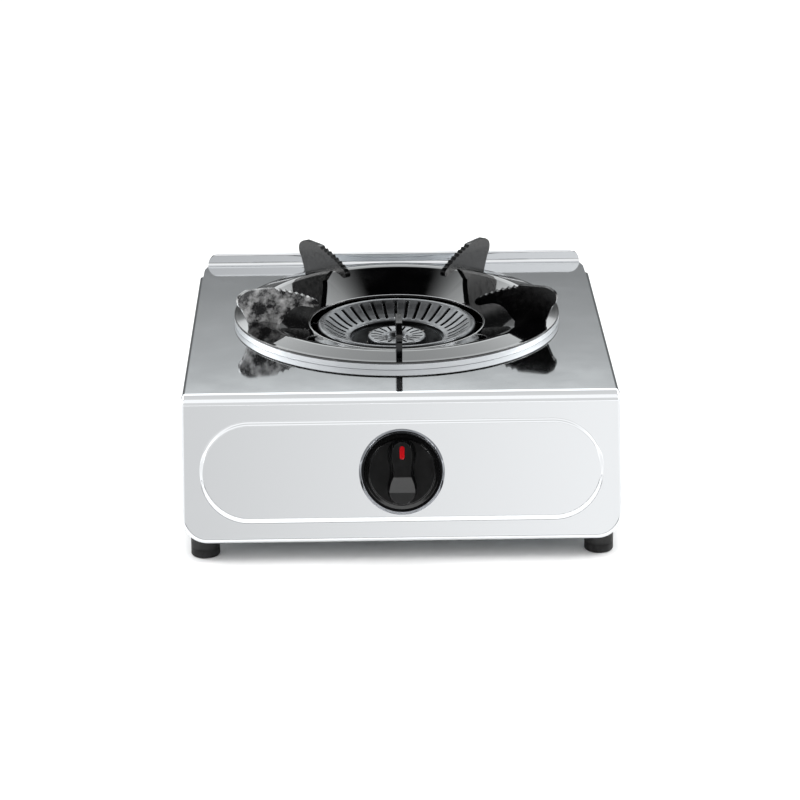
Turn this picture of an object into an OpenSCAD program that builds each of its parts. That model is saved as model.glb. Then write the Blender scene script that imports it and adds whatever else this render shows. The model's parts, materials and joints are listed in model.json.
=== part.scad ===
// Tabletop single-burner gas stove.
// X is to the right, Y to the back, Z up, millimetres. The origin is on the table,
// at the middle of the stove's width and depth.

/* [Casing] */
// Width of the casing across its side bends
casing_w = 308; // [300:1:316]
// Depth from the front of the knob to the tip of the hose spigot
overall_d = 378.6; // [376:0.1:382]
// Height of the flat top plate above the table
plate_z = 112; // [110:1:116]
// Thickness of the stainless sheet
sheet_t = 0.8; // [0.6:0.1:1.0]
// Outer radius of the bend between top plate and fascia
bend_r = 10; // [8:1:12]
// Lean of the fascia from the vertical
fascia_tilt = 20; // [16:1:22]
// Length of the fascia down its slope
fascia_l = 95.5; // [92:0.5:98]
// Radius of the two lower corners of the fascia
fascia_corner_r = 18; // [12:1:20]
// Height that the raised field stands out of the fascia
field_rise = 1.5; // [1:0.1:2]
// Height of the rear upstand above the top plate
upstand_h = 9.3; // [8:0.1:14]

/* [Burner and pan support] */
// Distance of the burner's axis behind the middle of the depth
burner_y = 32.2; // [30:0.1:34]
// Outer radius of the drip ring's rolled rim
ring_r = 122.2; // [118:0.1:124]
// Radius of the hole in the drip ring
ring_hole_r = 65; // [64:0.5:67]
// Height above the table at which a pan stands
pan_z = 146; // [143:1:150]
// Number of pan fingers
finger_count = 5; // [3:1:5]
// Thickness of a pan finger
finger_t = 4.4; // [3.5:0.1:5]
// Number of flame slots in the outer crown
crown_slots = 36; // [24:2:40]
// Number of flame slots in the inner cap
cap_slots = 18; // [12:1:20]

/* [Knob and tap] */
// Distance of the knob's axis below the upper edge of the fascia
knob_drop = 47; // [44:1:50]
// Outer radius of the chrome bezel
bezel_r = 30; // [28:0.5:31]
// Radius of the knob's skirt
knob_r = 26.5; // [25:0.5:26.5]
// Travel of the knob when it is pushed in
push_travel = 4; // [2:0.5:4]

/* [Feet] */
// Radius of a rubber foot
foot_r = 10.2; // [9:0.1:12]
// Height of the base plate's underside above the table
base_z = 22; // [21:1:24]

/* [Hidden] */
$fn = 96;
eps = 0.01;

// Colours of the finishes
steel = "silver";
enamel = "#1b1b1d";
black = "#151516";
brass = "#b89a4e";
galvanised = "#9aa0a4";
alloy = "#a8abad";

// Casing
knob_overhang = 12.54;
front_y = -overall_d / 2 + knob_overhang;
bend_y = front_y + fascia_l * sin(fascia_tilt) + bend_r * cos(fascia_tilt);
edge_y = bend_y - bend_r * cos(fascia_tilt);
edge_z = plate_z - bend_r + bend_r * sin(fascia_tilt);
side_bend_r = 3;
skirt_h = 14;
wall_x = casing_w / 2 - sheet_t;
upstand_y = burner_y + 139;
upstand_top = plate_z + upstand_h;
upstand_w = 296.8;
upstand_corner_r = 9;
fold_r = 2.6;
hem_r = 1.6;
lip_back = upstand_y + 2 * hem_r;
back_y = burner_y + 129.7;
base_end = back_y - 3.2;
lip_x = casing_w / 2 - 1.6;
cheek_x = upstand_w / 2 + 0.2;
cheek_z = 97;
side_bend_end = burner_y + 108.7;
return_d = 7;
wall_bottom = 17;
rear_screw_x = 138;
rear_screw_z = [38, 80];
base_screw_y = [-90, 90];

// Raised field of the fascia
field_w = 284;
field_top = -10.6;
field_h = 71.3;
field_bevel = 3.5;

// Recess that is pressed into the top plate under the drip ring
recess_r = 112;
recess_floor_r = 78;
recess_floor_z = 95;
burner_hole_r = 54;

// Burner
trough_in = 34.6;
trough_out = 50;
trough_z = 70;
trough_top = 94;
cup_r = 19;
cup_z = 42;
cup_top = 92;
boss_r = 7.6;
tube_z = 52;
tube_r = 10;
tube_bore = 8;
outer_tube_x = -17;
inner_tube_x = 13;
tube_mouth_y = burner_y - 84;
boss_y = burner_y - 38.7;
shutter_l = 14;
shutter_gap = 0.05;
probe_x = 20;
probe_y = burner_y + probe_x;

// Tap, measured along the knob's axis from the face of the fascia
bezel_front = field_rise + 8;
bezel_back = -6;
plug_r = 8;
plug_front = -24;
plug_back = -50;
barrel_r = 14;
barrel_front = -22;
barrel_back = -56;
spindle_r = 4;
fit_gap = 0.05;
knob_back = 1.2;
knob_face = 11;
grip_h = 12;

// Block behind the tap that holds the injectors
block_back = round(edge_y + 47);
block_front = block_back - 15;
block_x = 26;
inlet_x = -100;
inlet_z = 50;
block_y = (block_front + block_back) / 2;
pipe_r = 4;
bracket_n = -28;
ear_drop = 19;
igniter_n = -16;
plunger_n = -10.5;
cam_front = -7;
cam_t = 3;
probe_z = 62;
probe_screw_z = probe_z - 5;
igniter_x = 32;
magnet_end = 57;
lead_y = -145;
lead_z = 56;

// Feet
foot_x = casing_w / 2 - 15.2;
foot_front_y = burner_y - 189;
foot_rear_y = 136;
recess_h = 11;

// A flat outline in Y and Z drawn out to a width, centred on X
module across(w) { translate([-w / 2, 0, 0]) rotate([90, 0, 90]) linear_extrude(w) children(); }

// A flat outline in X and Z drawn out from y0 to y1
module along(y0, y1) { translate([0, y1, 0]) rotate([90, 0, 0]) linear_extrude(y1 - y0) children(); }

// A place on the fascia: s up the slope from its upper edge, n out of it
module on_fascia(s, n) {
    translate([0, edge_y + s * sin(fascia_tilt), edge_z + s * cos(fascia_tilt)])
        rotate([90 - fascia_tilt, 0, 0]) translate([0, 0, n]) children();
}

// A place on the knob's axis, n out of the fascia
module on_axis(n) { on_fascia(-knob_drop, n) children(); }

// A tube with its bore, standing on Z
module ring_tube(r, bore, h) {
    difference() {
        cylinder(r = r, h = h);
        translate([0, 0, -1]) cylinder(r = bore, h = h + 2);
    }
}

// A quarter of a ring between two radii, from the X axis to the Y axis
module quarter(r_in, r_out) {
    intersection() {
        difference() {
            circle(r = r_out);
            circle(r = r_in);
        }
        square(r_out + 1);
    }
}

// A quarter bend of a round tube, from +X round to +Y, with its centre at the origin
module elbow(bend, r) { rotate_extrude(angle = 90) translate([bend, 0]) circle(r = r); }

// A flat bar with round ends, centred
module stadium(w, h) {
    square([w - h, h], center = true);
    for (side = [-1, 1]) translate([side * (w - h) / 2, 0]) circle(d = h);
}

// The fascia's outline below its upper edge: two square upper corners, two round lower ones
module fascia_outline(inset) {
    w = casing_w - 2 * inset;
    r = fascia_corner_r - inset;
    l = fascia_l - inset;
    lap = 0.05;
    translate([-w / 2, -(l - r)]) square([w, l - r + lap]);
    translate([-w / 2 + r, -l]) square([w - 2 * r, r + eps]);
    for (side = [-1, 1]) translate([side * (w / 2 - r), -(l - r)]) circle(r = r);
}

module field_outline(inset) {
    translate([0, field_top - field_h / 2]) stadium(field_w - 2 * inset, field_h - 2 * inset);
}

// A small pan-head screw with its head down and its thread up
module screw(r, l, head_r, head_h) {
    translate([0, 0, -head_h]) difference() {
        cylinder(r = head_r, h = head_h);
        translate([0, 0, -1]) linear_extrude(1 + head_h / 2) union() {
            square([head_r * 1.2, head_r * 0.25], center = true);
            square([head_r * 0.25, head_r * 1.2], center = true);
        }
    }
    translate([0, 0, -eps]) cylinder(r = r, h = l);
}

// ---------- casing ----------

// Side view of the plate and the bend down to the fascia
module plate_profile() {
    translate([bend_y, plate_z - sheet_t]) square([side_bend_end - bend_y, sheet_t]);
    translate([bend_y, plate_z - bend_r]) intersection() {
        difference() {
            circle(r = bend_r);
            circle(r = bend_r - sheet_t);
        }
        polygon([[0, 0], [0, 2 * bend_r], [-2 * bend_r, 2 * bend_r],
            [-2 * bend_r * cos(fascia_tilt), 2 * bend_r * sin(fascia_tilt)]]);
    }
}

// Side view of the upstand: a hollow fold, a flat face, a hem and a strip down the back
module upstand_profile() {
    translate([upstand_y - fold_r, plate_z + fold_r]) rotate(-90) quarter(fold_r, fold_r + sheet_t);
    translate([upstand_y, plate_z + fold_r]) square([sheet_t, upstand_h - fold_r - hem_r]);
    translate([upstand_y + hem_r, upstand_top - hem_r]) difference() {
        circle(r = hem_r);
        circle(r = hem_r - sheet_t);
        translate([-5, -10]) square([10, 10]);
    }
    translate([lip_back - sheet_t, plate_z - skirt_h]) square([sheet_t, upstand_h + skirt_h - hem_r]);
}

module top_plate() {
    difference() {
        union() {
            across(casing_w - 2 * side_bend_r) plate_profile();
            // lip behind the side bends, which narrows towards the upstand
            translate([0, 0, plate_z - sheet_t]) linear_extrude(sheet_t) polygon([
                [-lip_x, side_bend_end], [-lip_x + 0.1, side_bend_end - 1], [lip_x - 0.1, side_bend_end - 1],
                [lip_x, side_bend_end], [upstand_w / 2, upstand_y - fold_r],
                [-upstand_w / 2, upstand_y - fold_r]]);
        }
        translate([0, burner_y, 0]) cylinder(r = recess_r, h = 2 * plate_z);
    }
    // pressed recess with a sloping wall and a flat floor
    translate([0, burner_y, 0]) rotate_extrude() polygon([
        [recess_r, plate_z], [recess_floor_r, recess_floor_z], [burner_hole_r, recess_floor_z],
        [burner_hole_r, recess_floor_z - sheet_t], [recess_floor_r + 1, recess_floor_z - sheet_t],
        [recess_r + 1, plate_z - sheet_t], [recess_r + 1, plate_z]]);
    // rolled side bends with their skirts
    for (side = [0, 1]) mirror([side, 0, 0]) {
        along(bend_y, side_bend_end) {
            translate([casing_w / 2 - side_bend_r, plate_z - side_bend_r])
                quarter(side_bend_r - sheet_t, side_bend_r);
            translate([wall_x, plate_z - skirt_h]) square([sheet_t, skirt_h - side_bend_r]);
        }
        // ends of the front bend
        translate([casing_w / 2 - side_bend_r - eps, 0, 0]) rotate([90, 0, 90])
            linear_extrude(side_bend_r + eps) difference() {
                plate_profile();
                translate([bend_y, 0]) square([overall_d, 2 * plate_z]);
            }
    }
}

module fascia() {
    difference() {
        union() {
            on_fascia(0, -sheet_t) linear_extrude(sheet_t) difference() {
                fascia_outline(0);
                field_outline(field_bevel - sheet_t);
            }
            // return flange round the sides and the foot
            on_fascia(0, -return_d) linear_extrude(return_d) difference() {
                fascia_outline(0);
                fascia_outline(sheet_t);
                translate([-casing_w, -2]) square([2 * casing_w, 10]);
            }
            // raised field and its stepped edge
            on_fascia(0, field_rise - sheet_t) linear_extrude(sheet_t)
                field_outline(field_bevel - sheet_t);
            on_fascia(0, -sheet_t) linear_extrude(field_rise + sheet_t) difference() {
                field_outline(field_bevel - 2 * sheet_t);
                field_outline(field_bevel);
            }
        }
        on_axis(-20) cylinder(r = bezel_r - 2, h = 40);
    }
}

module top_panel() {
    color(steel) union() {
        top_plate();
        fascia();
        intersection() {
            across(casing_w) upstand_profile();
            along(upstand_y - 2 * fold_r, lip_back + 1) union() {
                translate([-upstand_w / 2, 0]) square([upstand_w, upstand_top - upstand_corner_r]);
                translate([-upstand_w / 2 + upstand_corner_r, 0])
                    square([upstand_w - 2 * upstand_corner_r, upstand_top]);
                for (side = [-1, 1])
                    translate([side * (upstand_w / 2 - upstand_corner_r), upstand_top - upstand_corner_r])
                        circle(r = upstand_corner_r);
            }
        }
    }
}

// One side wall: its front edge follows the fascia, its lower front corner is cut back
module side_wall() {
    front_top = edge_y + 4;
    front_low = front_y + 4;
    cut = fascia_corner_r;
    wall_end = back_y - 2 * sheet_t;
    jog_y = side_bend_end - 2;
    translate([wall_x - sheet_t, 0, 0]) rotate([90, 0, 90]) linear_extrude(sheet_t) polygon([
        [front_top, plate_z - skirt_h + 6], [front_low + cut * sin(fascia_tilt), wall_bottom + cut],
        [front_low + cut, wall_bottom], [wall_end, wall_bottom], [wall_end, cheek_z], [jog_y, cheek_z],
        [jog_y, plate_z - side_bend_r], [bend_y, plate_z - side_bend_r]]);
    // the wall steps in under the plate's lip behind the side bends
    translate([cheek_x - sheet_t, jog_y, cheek_z - sheet_t]) cube([wall_x - cheek_x, wall_end - jog_y, sheet_t]);
    translate([cheek_x - sheet_t, jog_y, cheek_z - sheet_t])
        cube([sheet_t, wall_end - jog_y, plate_z - cheek_z]);
    translate([cheek_x - sheet_t, jog_y - sheet_t, cheek_z - sheet_t])
        cube([wall_x - cheek_x + sheet_t / 2, sheet_t + eps, plate_z - side_bend_r - cheek_z + sheet_t]);
    // rear flange that the rear panel is screwed to
    difference() {
        translate([wall_x - 21, wall_end - sheet_t, wall_bottom + 4])
            cube([21 - sheet_t / 2, sheet_t, 76]);
        for (z = rear_screw_z) translate([rear_screw_x, wall_end + 1, z])
            rotate([90, 0, 0]) cylinder(r = 1.5, h = 4);
    }
    // foot flange that the base plate is screwed to
    difference() {
        translate([wall_x - 12, front_y + 30, wall_bottom])
            cube([12 - sheet_t / 2, base_end - front_y - 34, sheet_t]);
        for (y = base_screw_y) translate([wall_x - 7, y, 0]) cylinder(r = 1.5, h = 50);
        for (y = [foot_front_y, foot_rear_y]) translate([foot_x, y, 0])
            cylinder(r = foot_r + 0.6, h = 50);
    }
}

module left_side_panel() { color(steel) mirror([1, 0, 0]) side_wall(); }
module right_side_panel() { color(steel) side_wall(); }

module rear_panel() {
    w = 2 * (wall_x - sheet_t);
    slot_step = 14;
    color(steel) difference() {
        union() {
            translate([-w / 2, back_y - 2 * sheet_t, wall_bottom]) cube([w, sheet_t, cheek_z - wall_bottom]);
            translate([-cheek_x, back_y - 2 * sheet_t, wall_bottom])
                cube([2 * cheek_x, sheet_t, plate_z - sheet_t - wall_bottom]);
        }
        along(back_y - 10, back_y + 10) {
            translate([inlet_x, inlet_z]) circle(r = 7);
            for (i = [-7:7], level = [0, 1]) if (i * slot_step > inlet_x + 20 || level == 1)
                translate([i * slot_step, 44 + 26 * level]) rotate(90) stadium(18, 3.4);
            for (x = [-rear_screw_x, rear_screw_x], z = rear_screw_z) translate([x, z]) circle(r = 1.5);
        }
    }
}

module base_plate() {
    w = 2 * (wall_x - sheet_t - 0.4);
    color(galvanised) difference() {
        union() {
            translate([-w / 2, front_y + 9, base_z]) cube([w, base_end - front_y - 11, 1]);
            // rim that stiffens the plate at the back
            translate([-w / 2, base_end - 3, base_z]) cube([w, 1, 9]);
        }
        for (x = [-1, 1], y = [foot_front_y, foot_rear_y]) translate([x * foot_x, y, 0])
            cylinder(r = 2, h = 50);
        for (i = [-4:4], side = [-1, 1]) translate([i * 16, burner_y + side * 70, 0])
            linear_extrude(50) rotate(90) stadium(36, 3.4);
        for (x = [-1, 1], y = base_screw_y) translate([x * (wall_x - 7), y, 0]) cylinder(r = 1.5, h = 50);
        for (x = [-28, 28]) translate([x, burner_y, 0]) cylinder(r = 1.5, h = 50);
    }
}

module foot(x, y) {
    edge_r = 1.5;
    color(black) translate([x, y, 0]) rotate_extrude() difference() {
        union() {
            translate([0, edge_r]) square([foot_r, base_z - edge_r]);
            square([foot_r - edge_r, edge_r + eps]);
            translate([foot_r - edge_r, edge_r]) circle(r = edge_r);
        }
        translate([-foot_r, -1]) square([foot_r, base_z + 2]);
        square([5, recess_h]);
        square([2, base_z]);
    }
}

module front_left_foot() { foot(-foot_x, foot_front_y); }
module front_right_foot() { foot(foot_x, foot_front_y); }
module rear_left_foot() { foot(-foot_x, foot_rear_y); }
module rear_right_foot() { foot(foot_x, foot_rear_y); }

module foot_screws() {
    color(galvanised) for (x = [-1, 1], y = [foot_front_y, foot_rear_y])
        translate([x * foot_x, y, recess_h]) screw(2, base_z - recess_h + 6, 4.5, 3);
}

module base_screws() {
    color(galvanised) for (x = [-1, 1], y = base_screw_y)
        translate([x * (wall_x - 7), y, wall_bottom]) screw(1.5, base_z - wall_bottom + 5, 3, 1.8);
}

module rear_panel_screws() {
    color(galvanised) for (x = [-rear_screw_x, rear_screw_x], z = rear_screw_z)
        translate([x, back_y - sheet_t, z]) rotate([90, 0, 0]) screw(1.5, 8, 3, 1.8);
}

// ---------- burner ----------

module at_burner(z) { translate([0, burner_y, z]) children(); }

// Cast base: an outer trough and an inner cup, each fed by its own mixing tube
module burner_base() {
    color(alloy) difference() {
        union() {
            at_burner(trough_z) ring_tube(trough_out, trough_in, trough_top - trough_z);
            at_burner(cup_z) cylinder(r = cup_r, h = cup_top - cup_z);
            // webs that tie the trough to the cup
            for (a = [0, 90, 180]) at_burner(trough_z + 1) rotate(a)
                translate([cup_r - 1, -2.5, 0]) cube([trough_in - cup_r + 2, 5, 10]);
            translate([outer_tube_x, boss_y, tube_z]) cylinder(r = boss_r, h = trough_z - tube_z + 1);
            translate([outer_tube_x, tube_mouth_y, tube_z])
                rotate([-90, 0, 0]) cylinder(r = tube_r, h = boss_y + boss_r - tube_mouth_y);
            translate([inner_tube_x, tube_mouth_y, tube_z])
                rotate([-90, 0, 0]) cylinder(r = tube_r, h = burner_y - tube_mouth_y);
        }
        at_burner(trough_z + 3) ring_tube(trough_out - 3, trough_in + 3, 40);
        at_burner(cup_z + 3) cylinder(r = cup_r - 3, h = 60);
        translate([outer_tube_x, boss_y, tube_z]) cylinder(r = boss_r - 3, h = trough_z - tube_z + 4);
        translate([outer_tube_x, tube_mouth_y - 1, tube_z]) rotate([-90, 0, 0])
            cylinder(r = tube_bore, h = boss_y + boss_r - 2 - tube_mouth_y);
        translate([inner_tube_x, tube_mouth_y - 1, tube_z]) rotate([-90, 0, 0])
            cylinder(r = tube_bore, h = burner_y - tube_mouth_y);
        // air windows on both sides of each tube
        for (x = [outer_tube_x, inner_tube_x]) translate([x - 15, tube_mouth_y + 3, tube_z - 3])
            cube([30, 8, 6]);
        // hole for the screw of the probe bracket
        translate([0, burner_y + cup_r + 1, probe_screw_z]) rotate([90, 0, 0]) cylinder(r = 1.5, h = 6);
    }
}

module burner_bracket() {
    leg_x = 22;
    color(galvanised) difference() {
        union() {
            translate([-leg_x, burner_y - 12, cup_z - 1.5]) cube([2 * leg_x, 24, 1.5]);
            for (side = [0, 1]) mirror([side, 0, 0]) {
                translate([leg_x - 1.5, burner_y - 12, base_z + 1]) cube([1.5, 24, cup_z - base_z - 1]);
                translate([leg_x - 1.5, burner_y - 12, base_z + 1]) cube([14, 24, 1.5]);
            }
        }
        for (x = [-28, 28]) translate([x, burner_y, base_z - 1]) cylinder(r = 1.5, h = 6);
    }
}

module burner_bracket_screws() {
    color(galvanised) for (x = [-28, 28]) translate([x, burner_y, base_z]) screw(1.5, 6, 3, 1.8);
}

// Flame ring: a funnel whose slots point at the middle, hollow underneath
module outer_crown() {
    slot_w = 1.7;
    slot_in = 38;
    slot_out = 52.5;
    color(alloy) at_burner(0) difference() {
        rotate_extrude() polygon([
            [35.4, 94.2], [35.4, 97.2], [36.2, 97.9], [40, 98.9], [44, 100.6], [48, 103], [52.5, 106.2],
            [56, 108], [58, 108.4], [59.3, 107.9], [59.7, 106.8], [59.7, 104], [56, 98.5], [52, 94.2]]);
        rotate_extrude() polygon([
            [37.6, 93], [37.6, 95.6], [41, 96.6], [45, 98.6], [49, 101.2], [52.5, 103.6],
            [55, 104.4], [56, 103.4], [53, 98.5], [50.2, 95.6], [50.2, 93]]);
        for (i = [0:crown_slots - 1]) rotate(i * 360 / crown_slots)
            translate([slot_in, -slot_w / 2, 90]) cube([slot_out - slot_in, slot_w, 30]);
    }
}

module inner_cap() {
    slot_w = 1.6;
    color(alloy) at_burner(0) difference() {
        rotate_extrude() polygon([
            [0, 92.1], [0, 94], [7.4, 94], [8.6, 96.6], [11, 97.6], [15, 98.2], [19.5, 98.5], [21.4, 98.1],
            [22.1, 97.2], [22.1, 88], [19.35, 88], [19.35, 92.1]]);
        for (i = [0:cap_slots - 1]) rotate((i + 0.5) * 360 / cap_slots)
            translate([11.5, -slot_w / 2, 94.6]) cube([8.2, slot_w, 10]);
    }
}

// Rotating sleeve that covers or clears the air windows of a mixing tube
module air_shutter(x) {
    sleeve_r = tube_r + 1.3;
    color(galvanised) difference() {
        translate([x, tube_mouth_y, tube_z]) rotate([-90, 0, 0]) union() {
            ring_tube(sleeve_r, tube_r + shutter_gap, shutter_l);
            translate([-2.5, -sleeve_r - 6, 0]) cube([5, 6.6, 1.2]);
        }
        translate([x - 15, tube_mouth_y + 3, tube_z - 3]) cube([30, 8, 6]);
    }
}

module outer_air_shutter() { air_shutter(outer_tube_x); }
module inner_air_shutter() { air_shutter(inner_tube_x); }

module injector(x) {
    color(brass) translate([x, block_back, tube_z]) rotate([-90, 0, 0]) difference() {
        union() {
            translate([0, 0, -5]) cylinder(r = 2.5, h = 6);
            cylinder(r = 4.2, h = 4, $fn = 6);
            cylinder(r = 2.8, h = 8);
        }
        translate([0, 0, -6]) cylinder(r = 0.45, h = 20);
    }
}

module outer_injector() { injector(outer_tube_x); }
module inner_injector() { injector(inner_tube_x); }

// ---------- pan support ----------

tab_in = 99;
tab_out = 108;
ring_wall = 1.3;

// Angle of each finger: the first one points to the front
function finger_angle(i) = -90 + i * 360 / finger_count;

module drip_ring() {
    bead_r = 3;
    color(enamel) at_burner(0) difference() {
        union() {
            rotate_extrude() polygon([
                [ring_hole_r, 108.6], [68, 109.3], [76, 110.9], [86, 113.7], [96, 117.5], [102, 120],
                [106, 121.4], [109, 121.5], [112, 120.8], [115.5, 119.2], [118.4, 117.5],
                [118, 116], [115, 117.6], [111.6, 119.3], [109, 120], [106.4, 120], [102.4, 118.6],
                [96.4, 116.1], [86.4, 112.3], [76.3, 109.5], [68.3, 107.9], [ring_hole_r + 0.4, 107.3]]);
            rotate_extrude() translate([ring_r - bead_r, plate_z + bead_r + 0.1]) circle(r = bead_r);
            // rolled lip of the hole
            rotate_extrude() translate([ring_hole_r + 0.8, 108]) circle(r = 0.9);
        }
        for (i = [0:finger_count - 1]) rotate(finger_angle(i))
            translate([tab_in - 0.2, -finger_t / 2 - 0.1, 100])
                cube([tab_out - tab_in + 0.4, finger_t + 0.2, 40]);
    }
}

// Pressed steel finger: a flat land for the pan, a toothed slope and an arched nose
module finger() {
    tooth_count = 6;
    tooth_r = 2;
    foot = [[121.5, 132], [119, 126.5], [115.8, 119.4], [112, 121.1], [109, 121.8], [tab_out, 121.8],
        [tab_out, 115], [tab_in, 115], [tab_in, 119.2], [95.5, 117.8], [93, 117.6]];
    arch = [[91, 119.5], [88.5, 122.8], [85, 127], [81, 129.6], [76, 130.3], [70, 129], [65.5, 127.7]];
    nose = [[62.6, 128.8], [62, 131], [63.6, 133.2]];
    land = [[71, 137.4], [81, 141.4], [90, 144.2], [96, 145.5], [101, pan_z], [116, pan_z],
        [119.5, 145], [122.5, 142.4], [124.6, 138.6], [124.2, 135]];
    rotate([90, 0, 0]) translate([0, 0, -finger_t / 2]) linear_extrude(finger_t) difference() {
        polygon(concat(foot, arch, nose, land));
        for (i = [0:tooth_count - 1]) let (u = i / (tooth_count - 1))
            translate([66 + 27 * u, 135.4 + 10.6 * sin(60 * u) * 1.06 + 1.1]) circle(r = tooth_r, $fn = 32);
    }
}

module pan_finger(i) { color(enamel) at_burner(0) rotate(finger_angle(i - 1)) finger(); }
module pan_finger_1() { pan_finger(1); }
module pan_finger_2() { pan_finger(2); }
module pan_finger_3() { pan_finger(3); }
module pan_finger_4() { pan_finger(4); }
module pan_finger_5() { pan_finger(5); }

// ---------- knob ----------

module knob_bezel() {
    wall = 0.9;
    inner_r = knob_r + 0.6;
    sleeve_r = bezel_r - 2;
    color("gainsboro") on_axis(0) rotate_extrude() polygon([
        [inner_r, bezel_front - 1], [inner_r + 0.8, bezel_front], [bezel_r - 1.4, bezel_front],
        [bezel_r, bezel_front - 1.6], [bezel_r, field_rise], [sleeve_r, field_rise], [sleeve_r, bezel_back],
        [9, bezel_back], [9, bezel_back + wall], [inner_r, bezel_back + wall]]);
}

// Waisted grip bar, a flat dog-bone outline
module grip_outline() {
    half_l = 22;
    half_w = 8.6;
    waist_r = 34;
    waist = 5.9;
    difference() {
        union() {
            square([2 * half_w, 2 * (half_l - half_w * 0.6)], center = true);
            for (side = [-1, 1]) translate([0, side * (half_l - half_w)]) circle(r = half_w);
        }
        for (side = [-1, 1]) translate([side * (waist_r + waist), 1]) circle(r = waist_r);
    }
}

module knob() {
    bore_r = 7;
    color(black) on_axis(0) difference() {
        union() {
            rotate_extrude() polygon([
                [0, knob_face - 2.5], [0, knob_face], [21.5, knob_face], [22.9, knob_face - 0.6],
                [23.6, 9.4], [25.8, 8.6], [knob_r, 7.6], [knob_r, knob_back], [24.6, knob_back],
                [24.2, 7], [20, knob_face - 2.5]]);
            translate([0, 0, knob_back]) cylinder(r = bore_r + 2.2, h = knob_face - knob_back - 1);
            translate([0, 0, knob_face - eps]) linear_extrude(grip_h) grip_outline();
        }
        translate([0, 0, 0]) cylinder(r = bore_r, h = knob_face + 3);
        // the grip slopes away at its lower end
        translate([-20, -24, knob_face + grip_h]) rotate([24, 0, 0])
            translate([0, -10, 0]) cube([40, 24, 20]);
        translate([0, 13.4, knob_face + grip_h - 0.8]) linear_extrude(2) rotate(90) stadium(9.6, 4);
    }
}

module knob_pointer() {
    color("#e3141e") on_axis(knob_face + grip_h - 0.8)
        translate([0, 13.4, 0]) linear_extrude(1) rotate(90) stadium(9.6, 4);
}

// Steel insert in the knob that grips the spindle's flat
module knob_sleeve() {
    color(galvanised) on_axis(knob_back + 0.2) difference() {
        cylinder(r = 7, h = knob_face + 2.8 - knob_back);
        translate([0, 0, -1]) linear_extrude(knob_face + 1.8 - knob_back) difference() {
            circle(r = spindle_r);
            translate([spindle_r - 1.4, -5]) square([5, 10]);
        }
    }
}

module spindle() {
    tail = -41;
    flat_start = -3;
    nose = knob_face + 1;
    color(brass) on_axis(0) difference() {
        union() {
            translate([0, 0, tail]) cylinder(r = spindle_r, h = nose - tail);
            // shoulder that the cam rests on
            translate([0, 0, cam_front]) cylinder(r = 5.4, h = 1.2);
        }
        translate([spindle_r - 1.4, -5, flat_start]) cube([5, 10, 30]);
    }
}

module spindle_spring() {
    coil_r = 5.3;
    wire_r = 0.45;
    spring_back = barrel_front + 3;
    coils = 5;
    step = (cam_front - cam_t - spring_back - 2 * wire_r) / (coils - 1);
    color("gray") on_axis(spring_back + wire_r) for (i = [0:coils - 1])
        translate([0, 0, i * step]) rotate_extrude() translate([coil_r, 0]) circle(r = wire_r, $fn = 24);
}

// ---------- tap ----------

// Body of the tap: a barrel on the knob's axis and a block that holds the injectors
module valve_body() {
    color(brass) difference() {
        union() {
            on_axis(barrel_back) cylinder(r = barrel_r, h = barrel_front - barrel_back);
            translate([-block_x, block_front, 40]) cube([2 * block_x, block_back - block_front, 20]);
            on_axis(bracket_n - 5) linear_extrude(5) rotate(90) stadium(2 * ear_drop + 11, 11);
        }
        for (side = [-1, 1]) on_axis(bracket_n - 6) translate([0, side * ear_drop, 0])
            cylinder(r = 1.5, h = 8);
        on_axis(plug_back - 1) cylinder(r = plug_r + fit_gap, h = 60);
        for (x = [outer_tube_x, inner_tube_x]) translate([x, block_back - 6, tube_z])
            rotate([-90, 0, 0]) cylinder(r = 2.5, h = 10);
        translate([-block_x - 1, block_y, inlet_z]) rotate([0, 90, 0])
            cylinder(r = pipe_r, h = 8);
        translate([block_x - 6, block_y, inlet_z]) rotate([0, 90, 0])
            cylinder(r = 5, h = 8);
        for (side = [-1, 1]) on_axis(barrel_front - 8) translate([side * 11, 0, 0])
            cylinder(r = 1.2, h = 10);
    }
}

module valve_cap() {
    color(galvanised) on_axis(barrel_front) difference() {
        cylinder(r = barrel_r, h = 3);
        translate([0, 0, -1]) cylinder(r = spindle_r + 0.3, h = 6);
        for (side = [-1, 1]) translate([side * 11, 0, -1]) cylinder(r = 1.2, h = 6);
    }
}

module valve_cap_screws() {
    color(galvanised) for (side = [-1, 1]) on_axis(barrel_front + 3) translate([side * 11, 0, 0])
        rotate([180, 0, 0]) screw(1.2, 9, 2.2, 1.4);
}

// Plug that turns in the barrel and opens the two gas ways
module valve_plug() {
    color(brass) on_axis(plug_back) difference() {
        cylinder(r = plug_r, h = plug_front - plug_back);
        translate([0, 0, 4]) cylinder(r = spindle_r + fit_gap, h = 40);
        translate([0, 0, 10]) rotate([0, 90, 0]) cylinder(r = 1.6, h = 20, center = true);
    }
}

module valve_bracket() {
    leg_x = 34;
    leg_h = 40;
    color(galvanised) difference() {
        on_axis(0) union() {
            translate([-leg_x, -24, bracket_n]) cube([2 * leg_x, 48, 1.5]);
            for (side = [0, 1]) mirror([side, 0, 0]) {
                translate([leg_x - 1.5, -leg_h / 2, bracket_n])
                    cube([1.5, leg_h, field_rise - sheet_t - bracket_n]);
                translate([leg_x - 1.5, -leg_h / 2, field_rise - sheet_t - 1.5]) cube([12, leg_h, 1.5]);
            }
        }
        on_axis(bracket_n - 1) cylinder(r = barrel_r, h = 4);
        for (side = [-1, 1]) on_axis(bracket_n - 1) translate([0, side * ear_drop, 0])
            cylinder(r = 1.5, h = 4);
        // way through the left leg for the ignition lead
        translate([-leg_x - 5, lead_y, lead_z]) rotate([0, 90, 0]) cylinder(r = 2.5, h = 10);
    }
}

module valve_bracket_screws() {
    color(galvanised) for (side = [-1, 1]) on_axis(bracket_n + 1.5) translate([0, side * ear_drop, 0])
        rotate([180, 0, 0]) screw(1.5, 6, 3, 1.8);
}

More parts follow.
